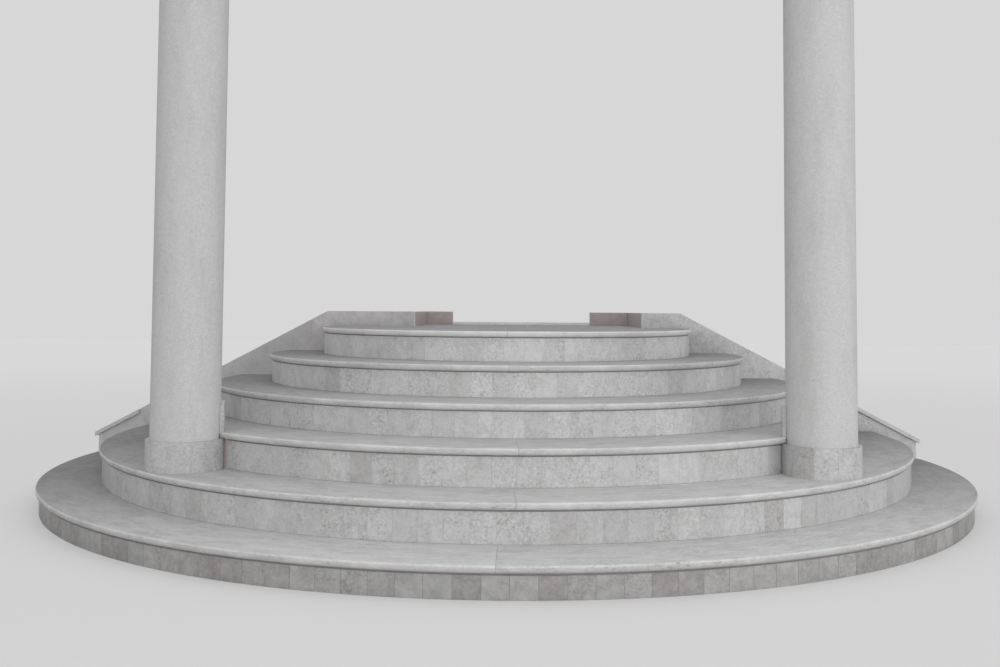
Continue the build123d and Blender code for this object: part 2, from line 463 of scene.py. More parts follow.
@dataclass(frozen=True)
class RenderFinish(Finish):
    """White scratch render on a masonry column: a stippled coat of lime, cement and 2 to 3 mm
    grains, painted off-white. It is fully matt, with a fine even speckle of small shadows. The
    speckle is drawn at 7 mm, coarser than the grains, so that it shows."""

    light: str = "cecece"
    stain: str = "bfbfbe"
    speckle_mm: float = 7.0
    streak_mm: float = 90.0
    relief_depth: float = 2.0 * MM

    def pattern(self, add: Adder) -> dict:
        """Lay the pattern out.

        Args:
            add: Adds a node to the material.

        Returns:
            Values or sockets for the shader's inputs, by name.
        """
        spot = add(PLACE, output="Object")
        hung = add("ShaderNodeMapping", {"Vector": spot, "Scale": (1, 1, 0.25)})
        speckle = add(NOISE, {"Vector": spot, "Scale": METRE / self.speckle_mm, "Detail": 3.0,
                              "Roughness": 0.7})
        grains = add(NOISE, {"Vector": spot, "Scale": METRE / (3 * self.speckle_mm), "Detail": 4.0,
                             "Roughness": 0.6})
        streak = add(NOISE, {"Vector": hung, "Scale": METRE / self.streak_mm, "Detail": 5.0,
                             "Roughness": 0.6})
        colour = lay_colours(add, linear(self.light), (add(RANGE, (streak, 0.48, 0.75, 0, 0.6)), self.stain))
        shade = add(RANGE, (speckle, 0.3, 0.7, 0.86, 1.08))
        shade = add(MATH, (shade, add(RANGE, (grains, 0.3, 0.7, 0.95, 1.03))), operation="MULTIPLY")
        return {
            "Base Color": add(VECTOR_MATH, {0: colour, 3: shade}, operation="SCALE"),
            "Roughness": 0.88,
            "Normal": add("ShaderNodeBump", {
                "Strength": 0.6, "Distance": self.relief_depth,
                "Height": add(MATH, (speckle, grains), operation="ADD")}),
        }


@dataclass(frozen=True)
class ConcreteFinish(Finish):
    """Poured concrete that was cast against boards: cement grey with the 100 mm board marks,
    paler laitance, dark damp patches and small air holes. Matt and dusty."""

    base: str = "9b9994"
    pale: str = "b2b0aa"
    dark: str = "7c7a75"
    board_mm: float = 100.0
    patch_mm: float = 384.6
    streak_mm: float = 111.1
    hole_mm: float = 26.3
    relief_depth: float = 2.0 * MM

    def pattern(self, add: Adder) -> dict:
        """Lay the pattern out.

        Args:
            add: Adds a node to the material.

        Returns:
            Values or sockets for the shader's inputs, by name.
        """
        spot = add(PLACE, output="Object")
        turn = add(MATH, (add(AXES, (spot,), 2), self.board_mm * MM), operation="DIVIDE")
        turn = add(MATH, (add(MATH, (turn,), operation="FRACT"), 0.5), operation="SUBTRACT")
        seam = add(RANGE, (add(MATH, (turn,), operation="ABSOLUTE"), 0.46, 0.49, 0, 1))
        flat = add("ShaderNodeMapping", {"Vector": spot, "Scale": (0.6, 0.6, 9.0)})
        patch = add(NOISE, {"Vector": spot, "Scale": METRE / self.patch_mm, "Detail": 6.0,
                            "Roughness": 0.6, "Distortion": 0.4})
        streak = add(NOISE, {"Vector": flat, "Scale": METRE / self.streak_mm, "Detail": 5.0,
                             "Roughness": 0.6})
        holes = add("ShaderNodeTexVoronoi", {"Vector": spot, "Scale": METRE / self.hole_mm})
        pit = add(MATH, (holes, 0.11), operation="LESS_THAN")
        hollow = add(MATH, (seam, pit), operation="MAXIMUM")
        colour = lay_colours(
            add, linear(self.base),
            (add(RANGE, (patch, 0.35, 0.65, 0, 0.8)), self.dark),
            (add(RANGE, (streak, 0.48, 0.7, 0, 0.7)), self.pale),
            (add(MATH, (hollow, 0.55), operation="MULTIPLY"), self.dark),
        )
        ridges = add(MATH, (streak, 0.4), operation="MULTIPLY")
        return {
            "Base Color": colour,
            "Roughness": 0.92,
            "Normal": add("ShaderNodeBump", {
                "Strength": 0.7, "Distance": self.relief_depth,
                "Height": add(MATH, (ridges, hollow), operation="SUBTRACT")}),
        }


@dataclass(frozen=True)
class StudioFinish(Finish):
    """Plain matt studio paper, which runs into the pale backdrop far away."""

    colour: str
    glow: Point2 = (0.22, 0.287)
    glow_range: Point2 = (4.5, 15.0)

    def pattern(self, add: Adder) -> dict:
        """Lay the pattern out.

        Args:
            add: Adds a node to the material.

        Returns:
            Values or sockets for the shader's inputs, by name.
        """
        away = add(VECTOR_MATH, (add(PLACE, output="Object"),), "Value", operation="LENGTH")
        seen = add("ShaderNodeLightPath", output="Is Camera Ray")
        glow = add(RANGE, (away, *self.glow_range, *self.glow))
        return {
            "Base Color": linear(self.colour),
            "Roughness": 0.95,
            "Emission Color": linear("ffffff"),
            "Emission Strength": add(MATH, (seen, glow), operation="MULTIPLY"),
        }


def inset_loop(points: list[Point2], depth: float) -> list[Point2]:
    """Move a closed outline inwards.

    Args:
        points: The outline, anticlockwise.
        depth: How far to move it in.

    Returns:
        The moved outline, with as many points.
    """
    moved = []
    for index, point in enumerate(points):
        here = Vector(point)
        first = (here - Vector(points[index - 1])).normalized()
        second = (Vector(points[(index + 1) % len(points)]) - here).normalized()
        inward = Vector((-first.y, first.x)) + Vector((-second.y, second.x))
        inward = inward / max(inward.length_squared / 2, 0.5)
        moved.append(tuple(here + inward * depth))
    return moved


def chamfered_profile(depth: float, low: float, high: float, arris: float) -> list[Point2]:
    """Section of a flat tile with its four edges eased.

    Args:
        depth: Thickness from the outer face.
        low: Height of its foot.
        high: Height of its top.
        arris: Width of the eased edge.

    Returns:
        Points of y and z, anticlockwise.
    """
    return [
        (0, low + arris), (arris, low), (depth - arris, low), (depth, low + arris),
        (depth, high - arris), (depth - arris, high), (arris, high), (0, high - arris),
    ]


def nosed_profile(depth: float, low: float, high: float, top_round: float,
                  under_round: Point2) -> list[Point2]:
    """Section of a tread slab with a rounded nosing.

    Args:
        depth: Width of the slab from its nosing inwards.
        low: Height of its underside.
        high: Height of its top.
        top_round: Radius of the upper round.
        under_round: Depth and height of the lower round, a quarter of an ellipse.

    Returns:
        Points of y and z, anticlockwise.
    """
    under_depth, under_height = under_round
    turns = [math.radians(90 * index / ROUND_STEPS) for index in range(ROUND_STEPS + 1)]
    curve = [(1 - math.sin(turn), 1 - math.cos(turn)) for turn in turns]
    upper = [(top_round * far, high - top_round * near) for far, near in curve]
    lower = [(under_depth * near, low + under_height * far) for far, near in curve]
    return [(depth, low), (depth, high), *upper, *lower]


def new_object(name: str, builder: Mesh, *finishes: Material) -> Piece:
    """Make a scene object of a mesh.

    Args:
        name: Name of the object.
        builder: The mesh, which is used up.
        *finishes: Its materials.

    Returns:
        The object.
    """
    mesh = bpy.data.meshes.new(name)
    builder.to_mesh(mesh)
    builder.free()
    for finish in finishes:
        mesh.materials.append(finish)
    piece = bpy.data.objects.new(name, mesh)
    bpy.context.scene.collection.objects.link(piece)
    return piece


def swept_stone(profile: list[Point2], length: float, segments: int, arris: float) -> Piece:
    """Stone in its flat layout: a section carried along x, with eased ends.

    Args:
        profile: The section's points of y and z.
        length: Length of the stone, centred on x = 0.
        segments: How many spans it has, so that it can bend.
        arris: Width of the eased ends, or zero.

    Returns:
        A scene object that holds the stone's mesh.
    """
    half = length / 2
    span = (length - 2 * arris) / segments
    rings = [(-half + arris + span * index, profile) for index in range(segments + 1)]
    if arris:
        eased = inset_loop(profile, arris)
        rings = [(-half, eased), *rings, (half, eased)]
    builder = bmesh.new()
    loops = [[builder.verts.new((x, y, z)) for y, z in points] for x, points in rings]
    for first, second in zip(loops, loops[1:]):
        for index in range(len(profile)):
            after = (index + 1) % len(profile)
            builder.faces.new((first[index], first[after], second[after], second[index]))
    builder.faces.new(loops[0])
    builder.faces.new(loops[-1])
    bmesh.ops.recalc_face_normals(builder, faces=builder.faces)
    return new_object("stone", builder)


def new_rule(name: str, kinds: dict[str, str]) -> tuple[Tree, Adder, bpy.types.NodeOutputs]:
    """Start a rule, which is a tree of geometry nodes, with named inputs.

    Args:
        name: The rule's name.
        kinds: The kind of each input, by its name.

    Returns:
        The rule, add_node for it, and the sockets of its inputs.
    """
    tree = bpy.data.node_groups.new(name, "GeometryNodeTree")
    for label, kind in kinds.items():
        tree.interface.new_socket(label, in_out="INPUT", socket_type=f"NodeSocket{kind}")
    tree.interface.new_socket("Geometry", in_out="OUTPUT", socket_type="NodeSocketGeometry")
    add = partial(add_node, tree)
    return tree, add, add("NodeGroupInput").node.outputs


def follow_rule(name: str, rule: Tree, values: dict) -> Piece:
    """Make a piece of what a rule gives.

    Args:
        name: Name of the piece.
        rule: The rule.
        values: Values for its inputs, by name.

    Returns:
        The piece, as a plain mesh.
    """
    piece = new_object(name, bmesh.new())
    modifier = piece.modifiers.new(name, "NODES")
    modifier.node_group = rule
    for item in rule.interface.items_tree:
        if item.in_out == "INPUT" and item.name in values:
            modifier[item.identifier] = values[item.name]
    settle(piece)
    return piece


def settle(piece: Piece) -> None:
    """Turn what an object's modifiers make into its own plain mesh.

    Args:
        piece: The object, whose modifiers are removed.
    """
    bpy.context.view_layer.update()
    graph = bpy.context.evaluated_depsgraph_get()
    mesh = bpy.data.meshes.new_from_object(
        piece.evaluated_get(graph), preserve_all_data_layers=True, depsgraph=graph
    )
    piece.modifiers.clear()
    spare = piece.data
    piece.data = mesh
    mesh.name = piece.name
    bpy.data.meshes.remove(spare)


def course_rule() -> Tree:
    """Rule of a curved course: stones of slightly uneven widths set side by side with joints,
    on a bed of grout, and then wrapped about the course's centre.

    Returns:
        The rule.
    """
    tree, add, given = new_rule("curved_course", COURSE_INPUTS)
    seeds = [given["Seed"]]
    for number in range(1, 5):
        seeds.append(add(MATH, (given["Seed"], number), operation="ADD"))
    low = add(MATH, (1.0, given["Spread"]), operation="SUBTRACT")
    high = add(MATH, (1.0, given["Spread"]), operation="ADD")
    share = add(RANDOM, {2: low, 3: high, 8: seeds[0]}, 1)
    total = add("GeometryNodeAccumulateField", (share,), "Total")
    run = add(MATH, (given["Count"], given["Pitch"]), operation="MULTIPLY")
    unit = add(MATH, (run, total), operation="DIVIDE")
    half = add(MATH, (share, 0.5), operation="MULTIPLY")
    middle = add(MATH, (total.node.outputs["Trailing"], half), operation="ADD")
    middle = add(MATH, (middle, unit), operation="MULTIPLY")
    along = add(MATH, (given["Start"], middle), operation="ADD")
    width = add(MATH, (share, unit), operation="MULTIPLY")
    width = add(MATH, (width, given["Joint"]), operation="SUBTRACT")
    usual = add(MATH, (given["Pitch"], given["Joint"]), operation="SUBTRACT")
    stretch = add(MATH, (width, usual), operation="DIVIDE")
    proud = add(RANDOM, {2: 0.0, 3: given["Lippage"], 8: seeds[1]}, 1)

    line = add("GeometryNodeMeshLine", {"Count": given["Count"], "Offset": (0, 0, 0)})
    spot = add("ShaderNodeCombineXYZ", (along, proud))
    line = add("GeometryNodeSetPosition", {"Geometry": line, "Position": spot})
    stone = add("GeometryNodeObjectInfo", {"Object": given["Stone"]}, "Geometry")
    scale = add("ShaderNodeCombineXYZ", (stretch, 1.0, 1.0))
    row = add("GeometryNodeInstanceOnPoints", {"Points": line, "Instance": stone, "Scale": scale})
    shift = add(RANDOM, {0: (0, 0, 0), 1: (40, 40, 40), 8: seeds[4]}, data_type="FLOAT_VECTOR")
    kept = {
        "tone": ("FLOAT", add(RANDOM, {2: 0.0, 3: 1.0, 8: seeds[2]}, 1)),
        "tint": ("FLOAT", add(RANDOM, {2: 0.0, 3: 1.0, 8: seeds[3]}, 1)),
        "grain": ("FLOAT_VECTOR", shift),
    }
    for name, (kind, value) in kept.items():
        row = add("GeometryNodeStoreNamedAttribute", {"Geometry": row, "Name": name, "Value": value},
                  data_type=kind, domain="INSTANCE")
    row = add("GeometryNodeRealizeInstances", {"Geometry": row})
    place = add("GeometryNodeInputPosition")
    own = add("GeometryNodeInputNamedAttribute", {"Name": "grain"}, data_type="FLOAT_VECTOR")
    moved = add(VECTOR_MATH, (place, own), operation="ADD")
    row = add("GeometryNodeStoreNamedAttribute", {"Geometry": row, "Name": "grain", "Value": moved},
              data_type="FLOAT_VECTOR", domain="POINT")
    row = add("GeometryNodeSetMaterial", {"Geometry": row, "Material": given["Stone Finish"]})

    bed = add("GeometryNodeObjectInfo", {"Object": given["Bed"]}, "Geometry")
    bed = add("GeometryNodeSetMaterial", {"Geometry": bed, "Material": given["Bed Finish"]})
    both = add("GeometryNodeJoinGeometry", (row,))
    tree.links.new(bed, both.node.inputs[0])

    axes = add(AXES, (place,)).node.outputs
    radial = add(MATH, (axes[1], given["Radius"]), operation="SUBTRACT")
    arm = add("ShaderNodeCombineXYZ", {1: radial, 2: axes[2]})
    angle = add(MATH, (axes[0], given["Radius"]), operation="DIVIDE")
    turned = add("ShaderNodeVectorRotate", {"Vector": arm, "Angle": angle}, rotation_type="Z_AXIS")
    wrapped = add(VECTOR_MATH, (turned, given["Centre"]), operation="ADD")
    add("NodeGroupOutput", (add("GeometryNodeSetPosition", {"Geometry": both, "Position": wrapped}),))
    return tree


@dataclass
class Course:
    """One curved row of stones on a bed of grout.

    The layout runs from start to start + count * pitch, measured along the outer face from
    its foremost point, positive to the right.
    """

    profile: list[Point2]
    centre: Point2
    radius: float
    start: float
    pitch: float
    count: int
    seed: int
    stone_finish: Material
    bed_finish: Material
    bed_profile: list[Point2] | None = None
    joint: float = 1.1 * MM
    spread: float = 0.02
    lippage: float = 0.25 * MM
    arris: float = 0.5 * MM
    bed_depth: float = 0.8 * MM
    segments: int = 2
    bed_overrun: Point2 = (0.0, 0.0)

    def lay(self, rule: Tree, name: str) -> Piece:
        """Build the course.

        Args:
            rule: The rule of curved courses.
            name: Name of the finished piece.

        Returns:
            The finished piece, as a plain mesh.
        """
        run = self.count * self.pitch
        stone = swept_stone(self.profile, self.pitch - self.joint, self.segments, self.arris)
        before, after = self.bed_overrun
        bed_length = run + before + after - 2 * self.bed_depth
        bed_profile = self.bed_profile or inset_loop(self.profile, self.bed_depth)
        bed = swept_stone(bed_profile, bed_length, self.count * self.segments, 0.0)
        bed.data.transform(Matrix.Translation((self.start + (run + after - before) / 2, 0, 0)))
        piece = follow_rule(name, rule, {
            "Stone": stone, "Bed": bed, "Count": self.count, "Start": self.start, "Pitch": self.pitch,
            "Joint": self.joint, "Spread": self.spread, "Lippage": self.lippage, "Radius": self.radius,
            "Centre": (*self.centre, 0.0), "Seed": self.seed,
            "Stone Finish": self.stone_finish, "Bed Finish": self.bed_finish,
        })
        for spare in (stone, bed):
            bpy.data.objects.remove(spare)
        return piece


def cut_by_plane(builder: Mesh, spot: Vector, outward: Vector,
                 faces: list[bmesh.types.BMFace] | None = None) -> None:
    """Cut off what lies beyond a plane and close the cut.

    Args:
        builder: The mesh to cut, made of closed stones.
        spot: A point of the plane.
        outward: The direction that is cut away.
        faces: The faces to cut, or none for all of them.
    """
    chosen = list(builder.faces) if faces is None else faces
    edges = dict.fromkeys(edge for face in chosen for edge in face.edges)
    verts = dict.fromkeys(vert for face in chosen for vert in face.verts)
    found = bmesh.ops.bisect_plane(
        builder, geom=[*verts, *edges, *chosen], dist=WELD, plane_co=spot, plane_no=outward, clear_outer=True
    )
    rims = [item for item in found["geom_cut"] if isinstance(item, bmesh.types.BMEdge) and item.is_boundary]
    if rims:
        bmesh.ops.holes_fill(builder, edges=rims, sides=0)


def trim_at_back(piece: Piece, bed_finish: Material) -> None:
    """Cut a course flush with the flight's back plane, and its bed a little short of it.

    Args:
        piece: The course, whose stones run past that plane.
        bed_finish: The finish of its bed.
    """
    builder = bmesh.new()
    builder.from_mesh(piece.data)
    for index, finish in enumerate(piece.data.materials):
        end = -BED_END_GAP if finish == bed_finish else 0.0
        faces = [face for face in builder.faces if face.material_index == index]
        cut_by_plane(builder, Vector((0, end, 0)), Vector((0, 1, 0)), faces)
    builder.to_mesh(piece.data)
    builder.free()


def join(name: str, pieces: list[Piece]) -> Piece:
    """Join several pieces into one, with their materials.

    Args:
        name: Name of the joined piece.
        pieces: The pieces, which the joined one uses up.

    Returns:
        The joined piece.
    """
    keeper = pieces[0]
    with bpy.context.temp_override(active_object=keeper, selected_editable_objects=pieces):
        bpy.ops.object.join()
    keeper.name = name
    keeper.data.name = name
    return keeper


def finish_piece(piece: Piece, nodes: list[str], sharp_degrees: float = 35.0) -> None:
    """Smooth a piece, tie it to the body and report it.

    Args:
        piece: The finished piece.
        nodes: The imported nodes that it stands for.
        sharp_degrees: Edges sharper than this stay crisp.
    """
    piece.data.shade_smooth()
    piece.data.set_sharp_from_angle(angle=math.radians(sharp_degrees))
    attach(piece, BODY)
    if nodes:
        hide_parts(*nodes)
    log.info("%s: %d faces", piece.name, len(piece.data.polygons))


@dataclass
class StoneStack:
    """Collects cut stones, each with its own tone and its own piece of the pattern."""

    seed: int
    arris: float = 0.9 * MM
    sharp_degrees: float = 50.0
    pattern_reach: float = 40.0

    def __post_init__(self) -> None:
        """Start an empty stack."""
        self.builder = bmesh.new()
        self.random = random.Random(self.seed)

    def ease(self, stone: Mesh, arris: float, only_top: bool) -> None:
        """Ease a stone's sharp edges.

        Args:
            stone: The stone.
            arris: Width of the eased edges.
            only_top: True for the edges of upward faces alone.
        """
        sharp = [
            edge for edge in stone.edges
            if edge.is_manifold and edge.calc_face_angle(0) > math.radians(self.sharp_degrees)
            and (not only_top or max(face.normal.z for face in edge.link_faces) > 0.5)
        ]
        bmesh.ops.bevel(stone, geom=sharp, offset=arris, offset_type="WIDTH", segments=1, affect="EDGES",
                        clamp_overlap=True)

    def add(self, stone: Mesh, top_arris: float = 0.0, finish: int = 0) -> None:
        """Ease a stone's edges and add it.

        Args:
            stone: A closed mesh, which is used up.
            top_arris: Width of a wider ease along the top, or zero.
            finish: Number of the stone's finish.
        """
        bmesh.ops.recalc_face_normals(stone, faces=stone.faces)
        if top_arris:
            self.ease(stone, top_arris, True)
        self.ease(stone, self.arris, False)
        for face in stone.faces:
            face.material_index = finish
        tone = stone.verts.layers.float.new("tone")
        tint = stone.verts.layers.float.new("tint")
        grain = stone.verts.layers.float_vector.new("grain")
        own_tone = self.random.random()
        own_tint = self.random.random()
        shift = Vector([self.random.uniform(0, self.pattern_reach) for _ in range(3)])
        for vert in stone.verts:
            vert[tone] = own_tone
            vert[tint] = own_tint
            vert[grain] = vert.co + shift
        mesh = bpy.data.meshes.new("stone")
        stone.to_mesh(mesh)
        stone.free()
        self.builder.from_mesh(mesh)
        bpy.data.meshes.remove(mesh)

    def finish(self, name: str, slot: str, node: str, *finishes: Material) -> None:
        """Make the finished piece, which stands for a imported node."""
        finish_piece(new_object(name, self.builder, *finishes), [node])


def node_solid(node: str) -> Mesh:
    """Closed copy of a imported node, with its flat faces whole again.

    Args:
        node: The node's name.

    Returns:
        The copy.
    """
    builder = bmesh.new()
    builder.from_mesh(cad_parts[node].data)
    bmesh.ops.remove_doubles(builder, verts=builder.verts, dist=WELD)
    bmesh.ops.recalc_face_normals(builder, faces=builder.faces)
    bmesh.ops.dissolve_limit(
        builder, angle_limit=FLAT, verts=builder.verts, edges=builder.edges
    )
    return builder


def round_node(node: str) -> tuple[Point2, float]:
    """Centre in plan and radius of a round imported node, from its box."""
    low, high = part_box(node)
    return ((low[0] + high[0]) / 2, (low[1] + high[1]) / 2), (high[0] - low[0]) / 2


def even_joints(low: float, high: float, pitch: float) -> list[float]:
    """Places of joints strictly between two ends, evenly spaced at about the pitch."""
    count = max(round((high - low) / pitch), 1)
    return [low + (high - low) * index / count for index in range(1, count)]


def back_bearing(radius: float, centre: Point2) -> float:
    """Bearing, in radians, at which a circle meets the flight's back plane."""
    return math.acos(centre[1] / radius)


def distance_and_bearing(centre: Point2, spot: Point2) -> Point2:
    """Where a place lies about a centre in plan.

    Args:
        centre: The centre.
        spot: The place.

    Returns:
        Its distance, and its bearing in radians.
    """
    east = spot[0] - centre[0]
    south = centre[1] - spot[1]
    return math.hypot(east, south), math.atan2(east, south)


class FlightSizes:
    """Sizes of the flight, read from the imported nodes' boxes."""

    def __init__(self) -> None:
        """Read the boxes."""
        treads = [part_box(f"tread_{step}") for step in range(1, STEPS)] + [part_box("landing")]
        risers = [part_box(f"riser_{step}") for step in range(1, STEPS + 1)]
        cores = [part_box(f"core_step_{step}") for step in range(1, STEPS + 1)]
        self.nose, self.riser, self.core = (
            [(high[0] - low[0]) / 2 for low, high in boxes] for boxes in (treads, risers, cores)
        )
        self.tread_low = [low[2] for low, _ in treads]
        self.tread_high = [high[2] for _, high in treads]
        self.riser_low = [low[2] for low, _ in risers]
        self.centre = (0.0, treads[0][0][1] + self.nose[0])
        self.riser_centre = (0.0, risers[0][0][1] + self.riser[0])

    def nose_spot(self, step: int, bearing: float, inset: float) -> Point3:
        """Place on a nosing's edge.

        Args:
            step: The step's number.
            bearing: Bearing in degrees.
            inset: How far below and behind the nosing's extreme lines it lies.

        Returns:
            The place, in metres.
        """
        radius = self.nose[step - 1] - inset
        turn = math.radians(bearing)
        height = self.tread_high[step - 1] - inset
        return (radius * math.sin(turn), self.centre[1] - radius * math.cos(turn), height)


class Palette:
    """Every finished material of the object."""

    def __init__(self, centre: Point2, marks: tuple[Point3, ...]) -> None:
        """Make the materials.

        Args:
            centre: Centre of the nosings in plan.
            marks: Places of the chips in the nosings.
        """
        # treads: their ends get painted shade of the house wall and porch roof, with some dust
        # treads: their shade by facing is painted light and shade on the nosings
        # treads: their shade by height is painted shade of the porch roof on the high treads
        tread = TravertineFinish(
            "honed_travertine_treads", Grain.ALONG, base="d5d5d5", pale="e7e7e7", dark="b9b9b8",
            tone_spread=0.03, stain_share=0.0001, cloud_mm=70, vein_mm=26, grit_mm=9, stretch=2.5,
            plain_porosity=0.6, pore_depth=0.3, mottle=0.045, roughness=0.65, gloss=0.1, relief=0.25,
            height_shade=(1.0, 0.72), facing_shade=(0.8, 1.04), ends=(0.45, 0.62), centre=centre, marks=marks)
        # the landing, its paving and the sill are darker all over: painted shade of the porch roof and a
        # painted reflection of a dark door
        landing = replace(
            tread, name="trodden_travertine_landing", base="e5e5e5", pale="eeeeee", dark="d0d0cf",
            height_shade=(0.5, 0.5), ends=(1.0, 1.0), marks=())
        # tiles: the default shade by height makes them darker towards the foot of the flight
        riser = TravertineFinish("honed_travertine_tiles", Grain.UPRIGHT)
        foot_riser = replace(
            riser, name="honed_travertine_foot_tiles", base="b9b9b8", pale="cbcbca", dark="a1a1a0",
            stain="a89f9d", soil="918f8e", height_shade=(1.0, 1.0), soil_height=0.11, stain_share=0.35,
            tone_spread=0.085)
        band = replace(
            riser, name="honed_porous_travertine_bands", height_shade=(0.9, 0.9), porous_share=0.85)
        skirting = replace(
            riser, name="honed_travertine_skirting", base="d0cece", pale="dbdbdb", dark="c2c0c0",
            height_shade=(1.0, 1.0), tone_spread=0.02, porous_share=0.01, plain_porosity=0.05, mottle=0.08)
        speckled_skirting = replace(
            skirting, name="honed_porous_travertine_skirting", base="cdcccc", pale="dedddd", dark="b4b2b3",
            porous_share=0.99, plain_porosity=0.15, pore_depth=0.5, mottle=0.09)
        # the recess and door skirtings are darker and pinker: painted shade of the recess and painted pink
        # light from the house walls
        shaded_skirting = replace(
            skirting, name="honed_rose_travertine_recess_skirting", base="ada19e", pale="bbb1ae",
            dark="9b8f8c", tone_spread=0.03)
        sawn = replace(
            skirting, name="sawn_travertine_edges", grain=Grain.ALONG, base="d2d2d0", pale="dcdcda",
            dark="c2c2c0", stain_share=0.0001, plain_porosity=0.0, mottle=0.05, roughness=0.6)
        self.tread, self.landing = tread.build(), landing.build()
        self.riser, self.foot_riser, self.band = riser.build(), foot_riser.build(), band.build()
        self.skirting, self.speckled_skirting = skirting.build(), speckled_skirting.build()
        self.shaded_skirting, self.sawn = shaded_skirting.build(), sawn.build()
        self.grout = GroutFinish("cement_grout", "9a9692").build()
        self.mortar = GroutFinish("bedding_mortar", "988f8e").build()
        self.pointing = GroutFinish("rose_lime_pointing", "c8b8b6").build()
        self.column = RenderFinish("scratch_render").build()
        self.concrete = ConcreteFinish("board_cast_concrete").build()


@dataclass
class Treads:
    """The curved treads and the landing's nosed border: slabs about a metre long."""

    sizes: FlightSizes
    palette: Palette
    rule: Tree
    top_round: float = 8 * MM
    under_round: Point2 = (13 * MM, 23 * MM)
    lap: float = 10 * MM
    border_depth: float = 0.30
    joint: float = 1.6 * MM
    bed_depth: float = 1.0 * MM
    first_joint: tuple[float, ...] = (0.0, 1.8, 2.3, 15.7, 1.3, 1.0)
    slab_turn: tuple[float, ...] = (41.0, 41.0, 41.0, 29.2, 42.7, 43.5)
    spans_per_degree: float = 0.75
    notch_gap: float = 2.5 * MM
    notch_sides: int = 96
    notch_height: float = 1.0
    seed: int = 100

    def build(self) -> None:
        """Lay every tread."""
        for step in range(1, STEPS + 1):
            self.lay_tread(step)

    def lay_tread(self, step: int) -> None:
        """Lay one step's slabs and cut them at the back plane and round the columns.

        Args:
            step: The step's number, from the lowest.
        """
        index = step - 1
        radius = self.sizes.nose[index]
        landing = step == STEPS
        depth = self.border_depth
        if not landing:
            set_back = self.sizes.riser_centre[1] - self.sizes.centre[1]
            depth = radius - self.sizes.riser[index + 1] + set_back + self.lap
        profile = nosed_profile(
            depth, self.sizes.tread_low[index], self.sizes.tread_high[index],
            self.top_round, self.under_round,
        )
        reach = back_bearing(radius - depth, self.sizes.centre) * radius
        anchor = math.radians(self.first_joint[index]) * radius
        length = math.radians(self.slab_turn[index]) * radius
        before = math.ceil((reach + anchor) / length)
        after = math.ceil((reach - anchor) / length)
        # the landing's border takes the landing material, with its painted shade and painted reflection
        course = Course(
            profile, self.sizes.centre, radius, anchor - before * length, length, before + after,
            self.seed + step, self.palette.landing if landing else self.palette.tread, self.palette.grout,
            joint=self.joint, lippage=0.0, spread=0.0, bed_depth=self.bed_depth,
            segments=round(self.slab_turn[index] * self.spans_per_degree),
        )
        piece = course.lay(self.rule, "landing_border" if landing else f"tread_{step}_slabs")
        trim_at_back(piece, self.palette.grout)
        if step == NOTCHED_STEP:
            self.notch(piece)
        finish_piece(piece, [] if landing else [f"tread_{step}"])

    def notch(self, piece: Piece) -> None:
        """Cut the columns' places out of a tread.

        Args:
            piece: The tread's slabs.
        """
        for side in SIDES:
            centre, radius = round_node(f"column_{side}")
            radius += self.notch_gap
            builder = bmesh.new()
            middle = Matrix.Translation((*centre, self.notch_height / 2))
            bmesh.ops.create_cone(builder, cap_ends=True, segments=self.notch_sides, radius1=radius,
                                  radius2=radius, depth=self.notch_height, matrix=middle)
            cutter = new_object("cutter", builder)
            modifier = piece.modifiers.new("notch", "BOOLEAN")
            modifier.object = cutter
            modifier.operation = "DIFFERENCE"
            modifier.solver = "EXACT"
            modifier.use_self = True
            settle(piece)
            bpy.data.objects.remove(cutter)


